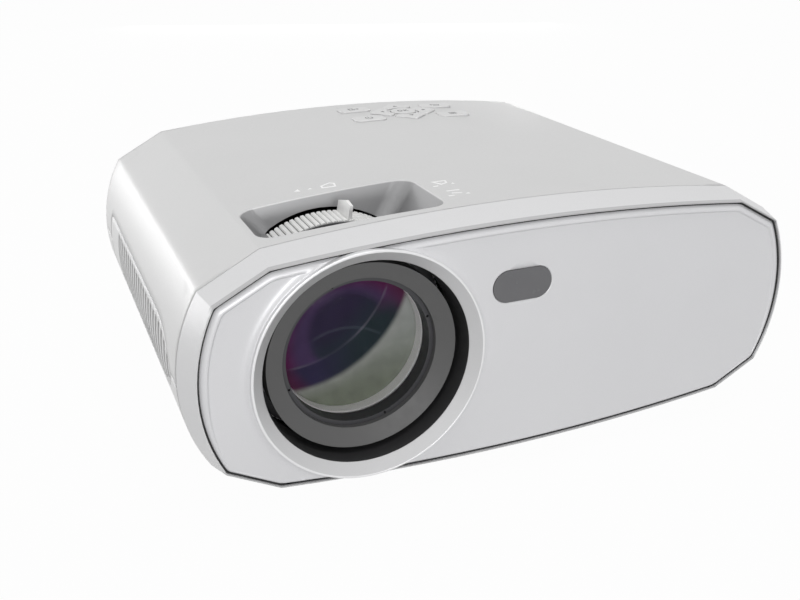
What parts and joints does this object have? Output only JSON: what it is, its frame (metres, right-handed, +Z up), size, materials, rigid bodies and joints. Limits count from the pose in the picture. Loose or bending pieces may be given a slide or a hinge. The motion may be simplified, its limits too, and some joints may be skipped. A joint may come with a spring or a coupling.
{
  "type": "projector",
  "caption": "Home projector with a focusing lens, finger recess, key pad, side grilles, cooling fans, rear sockets and an adjustable front foot.",
  "frame": {"origin": "centre of the bounding box's base, on the surface that the feet stand on", "axes": "+X to the viewer's right when facing the lens, +Y from the lens to the sockets, +Z up"},
  "size_m": [0.3, 0.2444, 0.1272],
  "materials": {
    "silver_plastic": "satin, fine spark texture",
    "bezel_plastic": "silver, satin",
    "panel_plastic": "silver grey, satin",
    "trim_plastic": "silver, satin",
    "white_plastic": "satin",
    "black_plastic": "matt",
    "barrel_plastic": "dark grey, satin",
    "foot_plastic": "matt",
    "coated_glass": "clear with a purple coating",
    "clear_glass": "clear",
    "ir_plastic": "smoked, glossy",
    "foot_rubber": "matt",
    "steel": "bright",
    "brass": "machined",
    "sink_metal": "bare",
    "board_green": "solder mask",
    "speaker_black": "paper cone and steel basket"
  },
  "bodies": {
    "housing": {"top_shell": "silver_plastic", "bottom_shell": "silver_plastic", "left_grille": "silver_plastic", "right_grille": "silver_plastic", "front_bezel": "bezel_plastic", "rear_bezel": "bezel_plastic", "front_panel": "panel_plastic", "rear_panel": "panel_plastic", "lens_trim_ring": "trim_plastic", "lens_sleeve": "black_plastic", "lens_mount": "black_plastic", "optical_box": "black_plastic", "optical_cover": "black_plastic", "exhaust_fan": "black_plastic", "intake_fan": "black_plastic", "power_inlet": "black_plastic", "condenser_lens": "clear_glass", "front_field_lens": "clear_glass", "rear_field_lens": "clear_glass", "lcd_panel": "clear_glass", "front_ir_window": "ir_plastic", "rear_ir_window": "ir_plastic", "rear_feet": "foot_rubber", "ring_clip": "steel", "case_screws": "steel", "lens_screws": "steel", "hdmi_sockets": "steel", "usb_sockets": "steel", "vga_socket": "steel", "mount_inserts": "brass", "inlet_pins": "brass", "heatsink": "sink_metal", "led_module": "sink_metal", "key_board": "board_green", "main_board": "board_green", "power_board": "board_green", "speaker_left": "speaker_black", "speaker_right": "speaker_black"},
    "focus_ring": {"focus_ring": "white_plastic", "focus_tab": "white_plastic"},
    "lens_barrel": {"lens_barrel": "barrel_plastic", "cam_pins": "steel", "lens_retaining_ring": "black_plastic", "front_lens": "coated_glass", "middle_lens": "clear_glass", "rear_lens": "clear_glass", "rear_retaining_ring": "black_plastic"},
    "exhaust_rotor": {"exhaust_rotor": "black_plastic"},
    "intake_rotor": {"intake_rotor": "black_plastic"},
    "front_foot": {"front_foot_stem": "foot_plastic"},
    "foot_knob": {"front_foot_knob": "foot_plastic"},
    "key_ok": {"key_ok": "white_plastic"},
    "key_up": {"key_up": "white_plastic"},
    "key_down": {"key_down": "white_plastic"},
    "key_left": {"key_left": "white_plastic"},
    "key_right": {"key_right": "white_plastic"},
    "key_power": {"key_power": "white_plastic"},
    "key_source": {"key_source": "white_plastic"},
    "key_menu": {"key_menu": "white_plastic"},
    "key_back": {"key_back": "white_plastic"}
  },
  "joints": [
    {"name": "focus_turn", "type": "hinge", "parent": "housing", "child": "focus_ring", "pos_m": [-0.0724, -0.0706, 0.0665], "axis": [0, 1, 0], "range_deg": [-38, 22]},
    {"name": "barrel_travel", "type": "slide", "parent": "housing", "child": "lens_barrel", "axis": [0, 1, 0], "range_m": [-0.00507, 0.00293]},
    {"name": "exhaust_spin", "type": "hinge", "parent": "housing", "child": "exhaust_rotor", "pos_m": [-0.133, 0.0634, 0.0665], "axis": [1, 0, 0], "continuous": true},
    {"name": "intake_spin", "type": "hinge", "parent": "housing", "child": "intake_rotor", "pos_m": [0.133, -0.0446, 0.0665], "axis": [1, 0, 0], "continuous": true},
    {"name": "foot_extend", "type": "slide", "parent": "housing", "child": "front_foot", "axis": [0, 0, -1], "range_m": [0, 0.012]},
    {"name": "foot_turn", "type": "hinge", "parent": "front_foot", "child": "foot_knob", "pos_m": [0, -0.0816, 0.003], "axis": [0, 0, 1], "range_deg": [0, 2880]},
    {"name": "key_ok_press", "type": "slide", "parent": "housing", "child": "key_ok", "axis": [0, 0, -1], "range_m": [0, 0.0008], "stiffness_N_per_m": 1500},
    {"name": "key_up_press", "type": "slide", "parent": "housing", "child": "key_up", "axis": [0, 0, -1], "range_m": [0, 0.0008], "stiffness_N_per_m": 1500},
    {"name": "key_down_press", "type": "slide", "parent": "housing", "child": "key_down", "axis": [0, 0, -1], "range_m": [0, 0.0008], "stiffness_N_per_m": 1500},
    {"name": "key_left_press", "type": "slide", "parent": "housing", "child": "key_left", "axis": [0, 0, -1], "range_m": [0, 0.0008], "stiffness_N_per_m": 1500},
    {"name": "key_right_press", "type": "slide", "parent": "housing", "child": "key_right", "axis": [0, 0, -1], "range_m": [0, 0.0008], "stiffness_N_per_m": 1500},
    {"name": "key_power_press", "type": "slide", "parent": "housing", "child": "key_power", "axis": [0, 0, -1], "range_m": [0, 0.0008], "stiffness_N_per_m": 1500},
    {"name": "key_source_press", "type": "slide", "parent": "housing", "child": "key_source", "axis": [0, 0, -1], "range_m": [0, 0.0008], "stiffness_N_per_m": 1500},
    {"name": "key_menu_press", "type": "slide", "parent": "housing", "child": "key_menu", "axis": [0, 0, -1], "range_m": [0, 0.0008], "stiffness_N_per_m": 1500},
    {"name": "key_back_press", "type": "slide", "parent": "housing", "child": "key_back", "axis": [0, 0, -1], "range_m": [0, 0.0008], "stiffness_N_per_m": 1500}
  ],
  "couplings": [
    {"joint": "barrel_travel", "follows": "focus_turn", "m_per_rad": 0.0076394},
    {"joint": "foot_extend", "follows": "foot_turn", "m_per_rad": 0.00023873}
  ]
}
